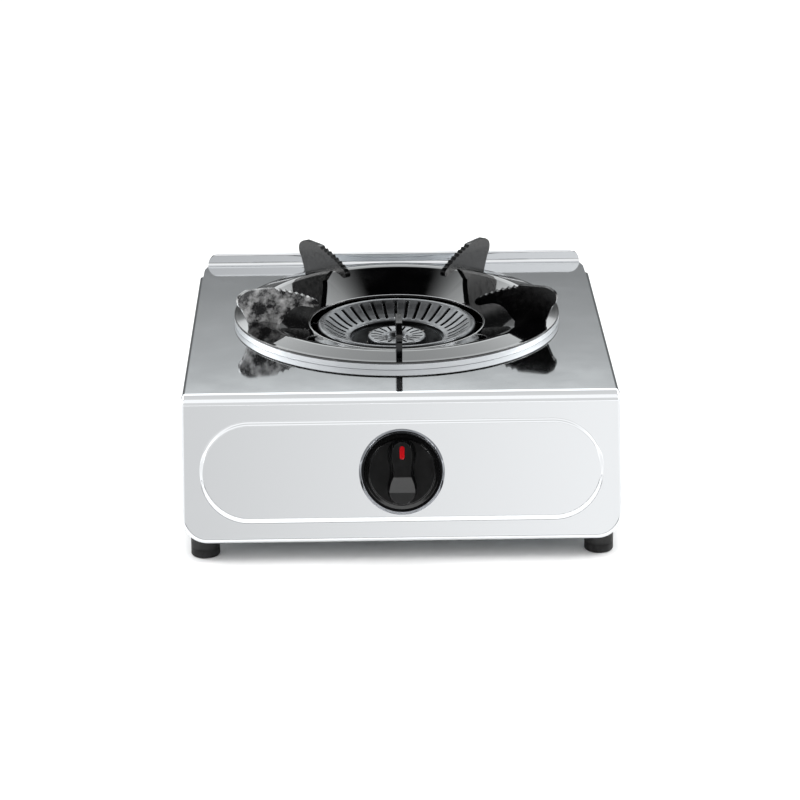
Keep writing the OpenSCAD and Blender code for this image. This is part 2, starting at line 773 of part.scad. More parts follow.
// Collar on the spindle whose lobe trips the igniter
module ignition_cam() {
    color("ivory") on_axis(cam_front - cam_t) difference() {
        union() {
            cylinder(r = 7.2, h = cam_t);
            linear_extrude(cam_t) polygon([[0, 7.2], [5.4, 7.6], [5.8, 6.4], [6.4, 3.3]]);
        }
        translate([0, 0, -1]) cylinder(r = spindle_r, h = cam_t + 2);
    }
}

module igniter_plunger() {
    color("ivory") on_axis(plunger_n) translate([-10.2, 0, 0]) rotate([0, -90, 0]) union() {
        cylinder(r = 2.5, h = 11);
        cylinder(r = 3.4, h = 1);
    }
}

module piezo_igniter() {
    bore_l = 13;
    color("dimgray") on_axis(0) difference() {
        union() {
            translate([-igniter_x + 3, -8, bracket_n + 1.5]) cube([14, 16, 19]);
            translate([-igniter_x, 0, igniter_n]) rotate([0, 90, 0]) cylinder(r = 3.4, h = 4);
        }
        translate([-bore_l - 14.6, 0, plunger_n]) rotate([0, 90, 0]) cylinder(r = 2.58, h = bore_l);
    }
}

// Lead from x0 at height z, out to a reach, back along the stove and up under a probe
module probe_lead(side, x0, y0, z, reach, r) {
    bend = probe_z - z;
    corner_x = side * (reach - bend);
    translate([side * x0, y0, z]) rotate([0, side * 90, 0]) cylinder(r = r, h = reach - bend - x0);
    translate([corner_x, y0 + bend, z]) rotate(side > 0 ? -90 : 180) elbow(bend, r);
    translate([side * reach, y0 + bend, z]) rotate([-90, 0, 0])
        cylinder(r = r, h = probe_y - y0 - 2 * bend);
    translate([corner_x, probe_y - bend, z]) rotate(side > 0 ? 0 : 90) elbow(bend, r);
    translate([corner_x, probe_y, z]) rotate([0, -side * 90, 0])
        cylinder(r = r, h = reach - probe_x - 2 * bend);
    translate([side * (probe_x + bend), probe_y, probe_z]) rotate([90, 0, 0])
        rotate(side > 0 ? 180 : 270) elbow(bend, r);
}

module ignition_lead() { color("firebrick") probe_lead(-1, igniter_x, lead_y, lead_z, 45, 1.5); }

module thermocouple_lead() { color("peru") probe_lead(1, magnet_end, block_y, inlet_z, 74, 1.1); }

module electrode_insulator() {
    color("white") translate([-probe_x, probe_y, probe_z]) difference() {
        union() {
            cylinder(r = 3, h = 24);
            translate([0, 0, 3.5]) cylinder(r = 4, h = 3);
        }
        translate([0, 0, -1]) cylinder(r = 1, h = 30);
    }
}

module electrode_rod() {
    color("gray") translate([-probe_x, probe_y, probe_z]) cylinder(r = 1, h = 32);
}

module thermocouple() {
    color("gray") translate([probe_x, probe_y, probe_z]) union() {
        cylinder(r = 2.2, h = 30);
        translate([0, 0, 30]) cylinder(r = 1.4, h = 2.5);
        translate([0, 0, 3.5]) cylinder(r = 3.4, h = 3);
    }
}

// Strip on the back of the inner cup that carries both probes
module probe_bracket() {
    strip_z = probe_z + 2;
    ear_z = probe_screw_z - 5;
    color(galvanised) difference() {
        union() {
            translate([-probe_x - 5, burner_y + 12, strip_z]) cube([2 * probe_x + 10, 14, 1.5]);
            translate([-5, burner_y + cup_r, ear_z]) cube([10, 1.5, strip_z - ear_z]);
        }
        at_burner(0) cylinder(r = cup_r, h = 200);
        translate([-probe_x, probe_y, 0]) cylinder(r = 3, h = 200);
        translate([probe_x, probe_y, 0]) cylinder(r = 2.2, h = 200);
        translate([0, burner_y + cup_r + 5, probe_screw_z]) rotate([90, 0, 0]) cylinder(r = 1.5, h = 10);
    }
}

module probe_bracket_screw() {
    color(galvanised) translate([0, burner_y + cup_r + 1.5, probe_screw_z])
        rotate([90, 0, 0]) screw(1.5, 4, 3, 1.8);
}

module safety_magnet() {
    color(brass) translate([block_x - 6, block_y, inlet_z]) rotate([0, 90, 0]) union() {
        cylinder(r = 5, h = 7);
        translate([0, 0, 6]) cylinder(r = 8, h = 24);
    }
}

module magnet_nut() {
    color(brass) translate([magnet_end - 7, block_y, inlet_z]) rotate([0, 90, 0]) difference() {
        cylinder(r = 5.5, h = 7, $fn = 6);
        translate([0, 0, 3]) cylinder(r = 1.1, h = 7);
    }
}

// ---------- gas supply ----------

module supply_pipe() {
    bend = 14;
    pipe_end = back_y - 16;
    start_x = -block_x + 5;
    color("darkgoldenrod") union() {
        translate([inlet_x + bend, block_y, inlet_z]) rotate([0, 90, 0])
            cylinder(r = pipe_r, h = start_x - inlet_x - bend);
        translate([inlet_x + bend, block_y + bend, inlet_z]) rotate(180) elbow(bend, pipe_r);
        translate([inlet_x, block_y + bend, inlet_z]) rotate([-90, 0, 0])
            cylinder(r = pipe_r, h = pipe_end - block_y - bend);
    }
}

module pipe_nut() {
    color(brass) translate([-block_x - 8, block_y, inlet_z]) rotate([0, 90, 0]) difference() {
        cylinder(r = 7, h = 8, $fn = 6);
        translate([0, 0, -1]) cylinder(r = pipe_r, h = 10);
    }
}

module inlet_fitting() {
    inner_face = back_y - 2 * sheet_t;
    color(brass) translate([inlet_x, 0, inlet_z]) rotate([-90, 0, 0]) difference() {
        union() {
            translate([0, 0, back_y - 20]) cylinder(r = 6, h = 30);
            translate([0, 0, inner_face - 7]) cylinder(r = 9.5, h = 7, $fn = 6);
            translate([0, 0, inner_face - eps]) cylinder(r = 7, h = 10);
        }
        translate([0, 0, back_y - 30]) cylinder(r = pipe_r, h = 50);
    }
}

module inlet_locknut() {
    color(brass) translate([inlet_x, back_y - sheet_t, inlet_z]) rotate([-90, 0, 0]) difference() {
        cylinder(r = 11, h = 5, $fn = 6);
        translate([0, 0, -1]) cylinder(r = 7, h = 7);
    }
}

module hose_spigot() {
    base_y = back_y + 8.5;
    tip_y = overall_d / 2;
    color(brass) translate([inlet_x, 0, inlet_z]) rotate([-90, 0, 0]) difference() {
        union() {
            translate([0, 0, base_y]) cylinder(r = 8.5, h = 4, $fn = 6);
            translate([0, 0, base_y]) cylinder(r = 5, h = tip_y - base_y - 1);
            translate([0, 0, tip_y - 1 - eps]) cylinder(r1 = 5, r2 = 4.2, h = 1 + eps);
        }
        translate([0, 0, base_y - 1]) cylinder(r = 6, h = 2.8);
        translate([0, 0, base_y]) cylinder(r = 3, h = 40);
    }
}

top_panel();
left_side_panel();
right_side_panel();
rear_panel();
base_plate();
front_left_foot();
front_right_foot();
rear_left_foot();
rear_right_foot();
foot_screws();
base_screws();
rear_panel_screws();
burner_base();
burner_bracket();
burner_bracket_screws();
outer_crown();
inner_cap();
outer_air_shutter();
inner_air_shutter();
outer_injector();
inner_injector();
drip_ring();
pan_finger_1();
pan_finger_2();
pan_finger_3();
pan_finger_4();
pan_finger_5();
knob_bezel();
knob();
knob_pointer();
knob_sleeve();
spindle();
spindle_spring();
valve_body();
valve_cap();
valve_cap_screws();
valve_plug();
valve_bracket();
valve_bracket_screws();
ignition_cam();
igniter_plunger();
piezo_igniter();
ignition_lead();
electrode_insulator();
electrode_rod();
thermocouple();
thermocouple_lead();
probe_bracket();
probe_bracket_screw();
safety_magnet();
magnet_nut();
supply_pipe();
pipe_nut();
inlet_fitting();
inlet_locknut();
hose_spigot();
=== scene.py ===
# %% [markdown]
# # A tabletop gas stove in polished steel and black enamel
#
# The stove is a folded stainless casing on four rubber feet. A pressed, enamelled ring with five
# fingers carries the pan over a double burner, and one knob on the tilted front opens the tap.
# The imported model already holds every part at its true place. This lesson loads it, keeps the
# hidden parts with better finishes, and models the visible ones again with finer shapes.

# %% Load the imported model
import json
import math

import bmesh
import bpy
from mathutils import Matrix, Vector


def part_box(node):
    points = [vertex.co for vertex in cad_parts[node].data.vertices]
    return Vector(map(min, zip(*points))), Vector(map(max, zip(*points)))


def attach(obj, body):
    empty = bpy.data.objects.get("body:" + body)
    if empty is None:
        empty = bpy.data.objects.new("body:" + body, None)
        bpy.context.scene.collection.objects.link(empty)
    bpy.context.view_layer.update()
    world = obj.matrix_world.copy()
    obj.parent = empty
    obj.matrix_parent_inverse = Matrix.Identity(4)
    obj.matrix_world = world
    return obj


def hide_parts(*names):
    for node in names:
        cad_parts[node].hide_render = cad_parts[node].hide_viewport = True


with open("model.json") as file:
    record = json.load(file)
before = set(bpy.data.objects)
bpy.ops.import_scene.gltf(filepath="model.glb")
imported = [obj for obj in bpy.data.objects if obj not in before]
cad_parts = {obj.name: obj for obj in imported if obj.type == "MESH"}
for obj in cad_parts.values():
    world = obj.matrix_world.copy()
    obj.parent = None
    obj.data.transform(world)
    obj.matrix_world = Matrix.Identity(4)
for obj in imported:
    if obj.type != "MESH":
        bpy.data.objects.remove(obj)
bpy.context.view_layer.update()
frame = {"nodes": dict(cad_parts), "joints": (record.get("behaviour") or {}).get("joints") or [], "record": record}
MM = 0.001

# %% [markdown]
# ## Places that everything is measured from
#
# A maker works from a few datums. Here they are the burner's axis, the flat of the top plate,
# and the knob's axis, which stands square on the fascia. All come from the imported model, so a
# piece lands where its part is, and nothing needs fitting.

# %% Datums
ring_low, ring_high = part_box("drip_ring")
panel_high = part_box("top_panel")[1]
BURNER = Vector((0, (ring_low.y + ring_high.y) / 2, 0))
turn = next(j for j in frame["joints"] if j["name"] == "knob_turn")
KNOB = Vector(turn["pos_m"])
OUT = Vector(turn["axis"])
UPSLOPE = Vector((0, OUT.z, -OUT.y))
LEAN = math.asin(OUT.z)
HALF_W = panel_high.x
SHEET = 0.8 * MM
BEND_R = 10 * MM
FASCIA_L = 95.5 * MM
KNOB_TO_EDGE = 47 * MM
EDGE = KNOB + UPSLOPE * KNOB_TO_EDGE
BEND_Y = EDGE.y + BEND_R * math.cos(LEAN)
PLATE_Z = EDGE.z + BEND_R * (1 - math.sin(LEAN))
print("burner axis", BURNER, "plate at", round(PLATE_Z, 4), "lean", round(math.degrees(LEAN), 1))

# %% [markdown]
# ## Small tools
#
# Each piece starts as a primitive and is shaped in edit mode. An outline is drawn the way a hand
# would: one vertex is put down and extruded from corner to corner. Corners that carry a radius
# are turned into arcs first, because a polished edge shows every facet.

# %% Selecting and finishing
def only(piece):
    if bpy.context.mode != "OBJECT":
        bpy.ops.object.mode_set(mode="OBJECT")
    bpy.ops.object.select_all(action="DESELECT")
    piece.select_set(True)
    bpy.context.view_layer.objects.active = piece


def edit(piece, kind="VERT", whole=False):
    only(piece)
    bpy.ops.object.mode_set(mode="EDIT")
    bpy.ops.mesh.select_mode(type=kind)
    bpy.ops.mesh.select_all(action="SELECT" if whole else "DESELECT")


def select(piece, kind, test):
    """Selects the vertices, edges or faces of a piece in edit mode that pass a test."""
    mesh = bmesh.from_edit_mesh(piece.data)
    chosen = [e for e in {"VERT": mesh.verts, "EDGE": mesh.edges, "FACE": mesh.faces}[kind] if test(e)]
    for element in chosen:
        element.select_set(True)
    mesh.select_flush_mode()
    bmesh.update_edit_mesh(piece.data)
    return len(chosen)


def add_modifier(piece, kind, **settings):
    only(piece)
    modifier = piece.modifiers.new(kind.title(), kind)
    for name, value in settings.items():
        setattr(modifier, name, value)
    bpy.ops.object.modifier_apply(modifier=modifier.name)


def soften(piece, width, segments=3, angle=35):
    """Rounds the sharp edges a little, as every made edge is."""
    add_modifier(piece, "BEVEL", width=width * MM, segments=segments, limit_method="ANGLE",
                 angle_limit=math.radians(angle), harden_normals=False)


def shade(piece, angle=32):
    only(piece)
    bpy.ops.object.shade_smooth_by_angle(angle=math.radians(angle))


def outwards(piece):
    edit(piece, whole=True)
    bpy.ops.mesh.remove_doubles(threshold=0.002 * MM)
    bpy.ops.mesh.normals_make_consistent(inside=False)
    bpy.ops.object.mode_set(mode="OBJECT")


def cut(piece, cutter, operation="DIFFERENCE"):
    add_modifier(piece, "BOOLEAN", operation=operation, object=cutter, solver="EXACT")
    bpy.data.objects.remove(cutter)


def join(piece, *others):
    only(piece)
    for other in others:
        other.select_set(True)
    bpy.ops.object.join()
    return piece


def place(piece, matrix):
    """Turns and moves a piece's mesh, and leaves its object at the origin."""
    piece.matrix_world = matrix
    only(piece)
    bpy.ops.object.transform_apply(location=True, rotation=True, scale=True)


def copy(piece, name):
    twin = piece.copy()
    twin.data = piece.data.copy()
    twin.name = twin.data.name = name
    bpy.context.scene.collection.objects.link(twin)
    return twin


# %% Outlines with arcs in their corners
def arcs(corners, step=10, closed=False):
    """Corners are (a, b) or (a, b, radius) in mm. A corner with a radius becomes an arc."""
    points = []
    count = len(corners)
    for i, corner in enumerate(corners):
        here = Vector(corner[:2])
        radius = corner[2] if len(corner) > 2 else 0
        inner = closed or 0 < i < count - 1
        if not radius or not inner:
            points.append(here)
            continue
        before = (Vector(corners[i - 1][:2]) - here)
        after = (Vector(corners[(i + 1) % count][:2]) - here)
        opening = before.angle(after)
        reach = min(radius / math.tan(opening / 2), before.length, after.length)
        radius = reach * math.tan(opening / 2)
        halfway = (before.normalized() + after.normalized()).normalized()
        centre = here + halfway * radius / math.sin(opening / 2)
        start = here + before.normalized() * reach - centre
        turn_by = math.pi - opening
        side = 1 if before.x * after.y - before.y * after.x < 0 else -1
        steps = max(2, math.ceil(math.degrees(turn_by) / step))
        for k in range(steps + 1):
            angle = side * turn_by * k / steps
            points.append(centre + Matrix.Rotation(angle, 2) @ start)
    return points


def rounded(half_x, half_y, radius):
    """The four corners of a rectangle in mm, each with a radius."""
    return [(x * half_x, y * half_y, radius) for x, y in ((-1, -1), (1, -1), (1, 1), (-1, 1))]


def draw(name, points, closed=False):
    """One vertex, extruded from point to point. Points are 3-D and in metres."""
    if bpy.context.mode != "OBJECT":
        bpy.ops.object.mode_set(mode="OBJECT")
    bpy.ops.object.select_all(action="DESELECT")
    bpy.ops.mesh.primitive_plane_add(size=MM, location=(0, 0, 0))
    piece = bpy.context.object
    piece.name = piece.data.name = name
    bpy.ops.object.mode_set(mode="EDIT")
    bpy.ops.mesh.select_mode(type="VERT")
    bpy.ops.mesh.merge(type="CENTER")
    bpy.ops.transform.translate(value=points[0])
    path = list(points) + ([points[0]] if closed else [])
    for here, there in zip(path, path[1:]):
        bpy.ops.mesh.extrude_region_move(TRANSFORM_OT_translate={"value": there - here})
    bpy.ops.mesh.select_all(action="SELECT")
    if closed:
        bpy.ops.mesh.remove_doubles(threshold=0.002 * MM)
    return piece


def lathe(name, corners, steps=120, closed=True, step=10):
    """A profile of (radius, height) in mm, spun once round Z."""
    profile = [Vector((a * MM, 0, b * MM)) for a, b in arcs(corners, step, closed)]
    piece = draw(name, profile, closed)
    bpy.ops.mesh.spin(steps=steps, angle=2 * math.pi, center=(0, 0, 0), axis=(0, 0, 1))
    bpy.ops.object.mode_set(mode="OBJECT")
    outwards(piece)
    return piece


def plate(name, corners, thickness, step=10):
    """A closed outline of (x, y) in mm, filled and pushed up along Z by a thickness in mm."""
    outline = [Vector((a * MM, b * MM, 0)) for a, b in arcs(corners, step, True)]
    piece = draw(name, outline, True)
    bpy.ops.mesh.edge_face_add()
    bpy.ops.mesh.extrude_region_move(TRANSFORM_OT_translate={"value": (0, 0, thickness * MM)})
    bpy.ops.object.mode_set(mode="OBJECT")
    outwards(piece)
    return piece


# %% [markdown]
# ## Finishes
#
# Each finish starts from what the real surface is and how it was made. One helper adds a node
# with its settings and its links, and one function turns the sRGB colours into linear light.
# Pattern sizes are given in millimetres: a noise of scale s repeats about every 1/s metres.

# %% The node helper
def linear(code):
    parts = [int(code[i:i + 2], 16) / 255 for i in (1, 3, 5)]
    return tuple(c / 12.92 if c <= 0.04045 else ((c + 0.055) / 1.055) ** 2.4 for c in parts) + (1.0,)


def add(tree, kind, settings=None, links=None):
    """Adds a node. Settings name its properties or its sockets, and links name its sockets."""
    made = tree.nodes.new("ShaderNode" + kind)
    for name, value in (settings or {}).items():
        if name in made.inputs:
            made.inputs[name].default_value = value
        else:
            setattr(made, name, value)
    for name, source in (links or {}).items():
        tree.links.new(source, made.inputs[name])
    return made


def per_mm(size):
    """The scale of a pattern whose marks are this many millimetres apart."""
    return 1 / (size * MM)


FINISH = {}


def finish(name, colour, roughness, spread=0.0, patch=20.0, grain=0.0, grain_size=0.5,
           tint=None, tint_size=15.0, tint_amount=0.5, **settings):
    """A material: one shader, roughness that varies in patches, a bump grain and a second tint."""
    material = bpy.data.materials.new(name)
    material.use_nodes = True
    tree = material.node_tree
    shader = tree.nodes["Principled BSDF"]
    shader.inputs["Base Color"].default_value = linear(colour)
    shader.inputs["Roughness"].default_value = roughness
    for socket, value in settings.items():
        shader.inputs[socket.replace("_", " ").title().replace("Ior", "IOR")].default_value = value
    place_of = add(tree, "TexCoord")
    if spread:
        patches = add(tree, "TexNoise", {"Scale": per_mm(patch), "Detail": 5.0, "Roughness": 0.6},
                      {"Vector": place_of.outputs["Object"]})
        limits = {"From Min": 0.3, "From Max": 0.7, "To Min": max(0.0, roughness - spread),
                  "To Max": roughness + spread}
        level = add(tree, "MapRange", limits, {"Value": patches.outputs["Fac"]})
        tree.links.new(level.outputs["Result"], shader.inputs["Roughness"])
    if tint:
        cloud = add(tree, "TexNoise", {"Scale": per_mm(tint_size), "Detail": 6.0, "Roughness": 0.65},
                    {"Vector": place_of.outputs["Object"]})
        limits = {"From Min": 0.42, "From Max": 0.68, "To Min": 0.0, "To Max": tint_amount}
        share = add(tree, "MapRange", limits, {"Value": cloud.outputs["Fac"]})
        mix = add(tree, "Mix", {"data_type": "RGBA"}, {"Factor": share.outputs["Result"]})
        mix.inputs[6].default_value = linear(colour)
        mix.inputs[7].default_value = linear(tint)
        tree.links.new(mix.outputs[2], shader.inputs["Base Color"])
    if grain:
        bumps = add(tree, "TexNoise", {"Scale": per_mm(grain_size), "Detail": 4.0},
                    {"Vector": place_of.outputs["Object"]})
        bump = add(tree, "Bump", {"Strength": grain, "Distance": 0.1 * MM}, {"Height": bumps.outputs["Fac"]})
        tree.links.new(bump.outputs["Normal"], shader.inputs["Normal"])
    FINISH[name] = material


# %% [markdown]
# ### The metals
#
# Mirror-polished stainless is buffed until it reflects like a mirror. What gives it away as
# steel is a slight grey tint, faint rolling waves and hand marks that dull it in patches. The band
# under the ring is only brushed, so it shows a soft even glow and no sharp pictures. The burner is
# cast alloy with a machined skin: grey, satin, and darkened where heat has been. Chrome is harder
# and darker than steel, brass is yellow with brown tarnish, and probes are tinted by the flame.

# %% Metals
finish("mirror polished stainless steel", "#d3d5d7", 0.055, spread=0.025, patch=38, grain=0.012, grain_size=9,
       metallic=1.0)
finish("bright steel band", "#d2d4d6", 0.38, spread=0.03, patch=12, grain=0.02, grain_size=3, metallic=1.0)
finish("machined aluminium burner alloy", "#707274", 0.30, spread=0.07, patch=7, grain=0.12, grain_size=0.7,
       tint="#48494b", tint_size=9, tint_amount=0.55, metallic=1.0)
finish("sand cast aluminium", "#8c8f91", 0.55, spread=0.1, patch=6, grain=0.5, grain_size=1.1,
       tint="#5b5d5e", tint_size=14, tint_amount=0.6, metallic=1.0)
finish("dark chrome plate", "#84868a", 0.05, spread=0.02, patch=12, grain=0.006, grain_size=6, metallic=1.0)
finish("zinc plated steel", "#b9bfc2", 0.34, spread=0.1, patch=10, grain=0.1, grain_size=1.2,
       tint="#9aa3a9", tint_size=16, tint_amount=0.8, metallic=1.0)
finish("turned brass", "#c9a45a", 0.24, spread=0.08, patch=5, grain=0.06, grain_size=0.4,
       tint="#9c7a3c", tint_size=7, tint_amount=0.5, metallic=1.0)
finish("drawn copper tube", "#c58a66", 0.28, spread=0.08, patch=9, grain=0.03, grain_size=0.8,
       tint="#8f5a3e", tint_size=11, tint_amount=0.6, metallic=1.0)
finish("heat tinted probe steel", "#7d7873", 0.36, spread=0.08, patch=4, grain=0.05, grain_size=0.5,
       tint="#5a5468", tint_size=6, tint_amount=0.8, metallic=1.0)

# %% [markdown]
# ### Enamel, plastics, rubber and ceramic
#
# Vitreous enamel is glass fused on steel, so it is deep black with a hard, clear gloss and a
# very slight orange peel. Pans wear the fingers' gloss down. One finger has pale clouds painted
# into its colour: a painted reflection of the bright plate's light falling on it. The knob is ABS:
# glossy where the mould was polished, satin where it was textured. Rubber is nearly black and hardly shines.

# %% Coatings and mouldings
finish("black vitreous enamel", "#050506", 0.06, spread=0.03, patch=16, grain=0.03, grain_size=2.4,
       ior=1.6, coat_weight=1.0, coat_roughness=0.03, coat_ior=1.6)
finish("worn black enamel on fingers", "#050506", 0.18, spread=0.08, patch=3.5, grain=0.16, grain_size=1.1,
       tint="#161617", tint_size=3.0, tint_amount=0.5, ior=1.42)
# painted reflection: the lighter base and the pale grey clouds stand in for the plate's light reflected on one
# finger
finish("black enamel with painted pale reflection", "#232324", 0.20, spread=0.08, patch=3.5, grain=0.2, grain_size=1.1,
       tint="#c9c9c9", tint_size=9.0, tint_amount=1.0, ior=1.6, coat_weight=0.7, coat_roughness=0.1)
finish("polished black ABS", "#0a0a0b", 0.10, spread=0.03, patch=8, grain=0.015, grain_size=2.0, ior=1.54)
finish("textured black ABS", "#101011", 0.36, spread=0.05, patch=6, grain=0.10, grain_size=0.35, ior=1.54)
finish("red acrylic inlay", "#e2131f", 0.22, spread=0.05, patch=2, ior=1.49)
finish("moulded black rubber", "#030304", 0.62, spread=0.1, patch=5, grain=0.18, grain_size=0.6, ior=1.52)
finish("moulded grey nylon", "#2c2d2f", 0.45, spread=0.06, patch=5, grain=0.1, grain_size=0.5, ior=1.53)
finish("moulded ivory nylon", "#d9d2bd", 0.42, spread=0.06, patch=5, grain=0.08, grain_size=0.5, ior=1.53)
finish("glazed steatite ceramic", "#e6e3da", 0.18, spread=0.05, patch=3, grain=0.05, grain_size=0.8, ior=1.6)
finish("red silicone sleeve", "#7d1a14", 0.5, spread=0.08, patch=3, grain=0.1, grain_size=0.4, ior=1.42)
print("finishes:", len(FINISH))


# %% Giving finishes and homes to pieces
def dress(piece, *names):
    piece.data.materials.clear()
    for name in names:
        piece.data.materials.append(FINISH[name])


def fit(piece, body, slot, *nodes):
    """The piece rides on a body and stands for its nodes, which are hidden. The slot is not used."""
    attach(piece, body)
    if nodes:
        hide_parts(*nodes)


# %% [markdown]
# ## The casing
#
# The real casing is one stainless blank: its edges are drawn down, a stadium-shaped field is
# pressed into the front, and then the front is folded down. The mesh is made in the same order.
# It is first a flat tray, then twelve small turns about the bend's axis fold the front down.

# %% The flat blank with its edges drawn down
fold_len = BEND_R * (math.pi / 2 - LEAN)
foot_y = BEND_Y - fold_len - FASCIA_L
side_end = BURNER.y + 108.7 * MM
corner_r = 18 * MM
rim_r = 3 * MM
flange = 7 * MM
bpy.ops.object.select_all(action="DESELECT")
bpy.ops.mesh.primitive_plane_add(size=1, location=(0, (foot_y + side_end) / 2, PLATE_Z))
casing = bpy.context.object
casing.name = casing.data.name = "casing_shell"
casing.scale = (2 * HALF_W, side_end - foot_y, 1)
only(casing)
bpy.ops.object.transform_apply(location=True, scale=True, rotation=True)
edit(casing)
select(casing, "VERT", lambda v: v.co.y < foot_y + MM)
bpy.ops.mesh.bevel(offset=corner_r, segments=14, affect="VERTICES")
bpy.ops.mesh.select_mode(type="EDGE")
bpy.ops.mesh.select_all(action="DESELECT")
select(casing, "EDGE", lambda e: min(v.co.y for v in e.verts) < side_end - MM)
bpy.ops.mesh.extrude_edges_move(TRANSFORM_OT_translate={"value": (0, 0, -flange)})
bpy.ops.mesh.select_all(action="DESELECT")
rim = select(casing, "EDGE", lambda e: len(e.link_faces) == 2
             and all(v.co.z > PLATE_Z - 0.01 * MM for v in e.verts)
             and any(abs(f.normal.z) < 0.5 for f in e.link_faces))
bpy.ops.mesh.bevel(offset=rim_r, segments=7, affect="EDGES")
print("rim edges rounded:", rim)

# %% Folding the front down in small turns
fold_steps = 12
bpy.ops.mesh.select_mode(type="VERT")
for k in range(fold_steps + 1):
    bpy.ops.mesh.select_all(action="SELECT")
    bpy.ops.mesh.bisect(plane_co=(0, BEND_Y - fold_len * k / fold_steps, 0), plane_no=(0, 1, 0))
mesh = bmesh.from_edit_mesh(casing.data)
mesh.verts.ensure_lookup_table()
mesh.verts.index_update()
flat_y = {v.index: v.co.y for v in mesh.verts}
turn_each = (math.pi / 2 - LEAN) / fold_steps
hinge = Vector((0, BEND_Y, PLATE_Z))
for k in range(fold_steps):
    line = BEND_Y - fold_len * k / fold_steps
    bpy.ops.mesh.select_all(action="DESELECT")
    select(casing, "VERT", lambda v: flat_y[v.index] < line - 0.02 * MM)
    # with no window the operator turns the other way
    bpy.ops.transform.rotate(value=-turn_each * (0.5 if k == 0 else 1), orient_axis="X", orient_type="GLOBAL",
                             center_override=hinge)
    heading = turn_each * (k + 0.5)
    hinge = hinge + Vector((0, -math.cos(heading), -math.sin(heading))) * fold_len / fold_steps
bpy.ops.mesh.select_all(action="DESELECT")
select(casing, "VERT", lambda v: flat_y[v.index] < BEND_Y - fold_len - 0.02 * MM)
bpy.ops.transform.rotate(value=-turn_each / 2, orient_axis="X", orient_type="GLOBAL", center_override=hinge)
print("fascia's upper edge is out of place by", round((hinge - EDGE).length / MM, 3), "mm")

# %% [markdown]
# ### The sides, the lip and the upstand
#
# The plate's sides are drawn deeper than the fascia's. Behind them the lip runs on, narrows a
# little, and is folded up into a low upstand whose top is hemmed, so that no raw edge shows.

# %% Deeper sides, then the rear lip swept up
bpy.ops.mesh.select_all(action="DESELECT")
select(casing, "VERT", lambda v: flat_y[v.index] > BEND_Y - 0.01 * MM
       and v.co.z < PLATE_Z - flange + 0.01 * MM)
bpy.ops.transform.translate(value=(0, 0, -flange))
upstand_y = BURNER.y + 139 * MM
upstand_half = 148.4 * MM
lip_half = 150.6 * MM
upstand_corner = 9
front = upstand_y / MM
back = front + 3.2
top_z = 121.3
corner_heights = [115.5, 116.6, 117.6, 118.6]
lip = arcs([(side_end / MM, 112), (160, 112), (front, 112, 2.6)] + [(front, z) for z in corner_heights]
           + [(front, top_z, 1.6), (back, top_z, 1.6)] + [(back, z) for z in reversed(corner_heights)]
           + [(back, 112.3), (back, 98)], step=12)


def half_width(point):
    """Half the lip's width at a point of its side view: the upstand's upper corners are round."""
    if point.x < 161:
        return lip_half
    lift = max(0, point.y - (top_z - upstand_corner))
    return upstand_half - (upstand_corner - math.sqrt(max(0, upstand_corner ** 2 - lift * lift))) * MM


bpy.ops.mesh.select_mode(type="EDGE")
bpy.ops.mesh.select_all(action="DESELECT")
select(casing, "EDGE", lambda e: all(abs(v.co.y - side_end) < 0.01 * MM and v.co.z > PLATE_Z - 0.01 * MM
                                     for v in e.verts))
half = HALF_W - rim_r
for here, there in zip(lip, lip[1:]):
    step_up = there - here
    bpy.ops.mesh.extrude_edges_move(TRANSFORM_OT_translate={"value": (0, step_up.x * MM, step_up.y * MM)})
    wanted = half_width(there)
    bpy.ops.transform.resize(value=(wanted / half, 1, 1), center_override=(0, 0, 0))
    half = wanted
bpy.ops.mesh.select_all(action="SELECT")
bpy.ops.mesh.normals_make_consistent(inside=False)
bpy.ops.object.mode_set(mode="OBJECT")
top = max(casing.data.polygons, key=lambda f: f.area)
print("largest face looks", [round(c, 2) for c in top.normal])
if top.normal.z < -0.5 or top.normal.y > 0.5:
    edit(casing, whole=True)
    bpy.ops.mesh.flip_normals()
    bpy.ops.object.mode_set(mode="OBJECT")
add_modifier(casing, "SOLIDIFY", thickness=SHEET, offset=-1, use_even_offset=True)

# %% The holes: one for the recess and one for the knob
KNOB_HOLE = 28.1 * MM
bpy.ops.mesh.primitive_cylinder_add(vertices=144, radius=112 * MM, depth=30 * MM,
                                    location=(0, BURNER.y, PLATE_Z))
cut(casing, bpy.context.object)
bpy.ops.mesh.primitive_cylinder_add(vertices=96, radius=KNOB_HOLE, depth=20 * MM)
hole = bpy.context.object
AXIS = Matrix.Translation(KNOB) @ Matrix((Vector((1, 0, 0)), UPSLOPE, OUT)).transposed().to_4x4()
place(hole, AXIS)
cut(casing, hole)
print("casing faces", len(casing.data.polygons))

# %% [markdown]
# ### The pressed field and the recess
#
# A press tool leaves no sharp line: the metal rolls up out of the fascia and over on to the
# field. Each inset below goes a little in and a little up along that curve. The recess under the
# ring is a dish with a sloping wall, and it joins the plate where the ring hides the seam.

# %% The stadium field
half_height = 35.65
FIELD_CENTRE = KNOB_TO_EDGE - 46.25 * MM
field = plate("field", rounded(142, half_height, half_height), 0.01, step=4)
edit(field, "FACE")
select(field, "FACE", lambda f: f.normal.z < 0.5)
bpy.ops.mesh.delete(type="FACE")
select(field, "FACE", lambda f: True)
press_steps = 12
press_width = 3.6 * MM
press_height = 1.5 * MM
for k in range(press_steps):
    height = [press_height * (1 - math.cos(math.pi * j / press_steps)) / 2 for j in (k, k + 1)]
    bpy.ops.mesh.inset(thickness=press_width / press_steps, depth=height[1] - height[0])
bpy.ops.mesh.delete(type="FACE")
bpy.ops.mesh.primitive_circle_add(vertices=96, radius=KNOB_HOLE,
                                  location=(0, -FIELD_CENTRE, press_height + 0.01 * MM))
bpy.ops.mesh.select_mode(type="EDGE")
bpy.ops.mesh.select_all(action="DESELECT")
select(field, "EDGE", lambda e: len(e.link_faces) < 2 and e.verts[0].co.z > press_height - 0.1 * MM)
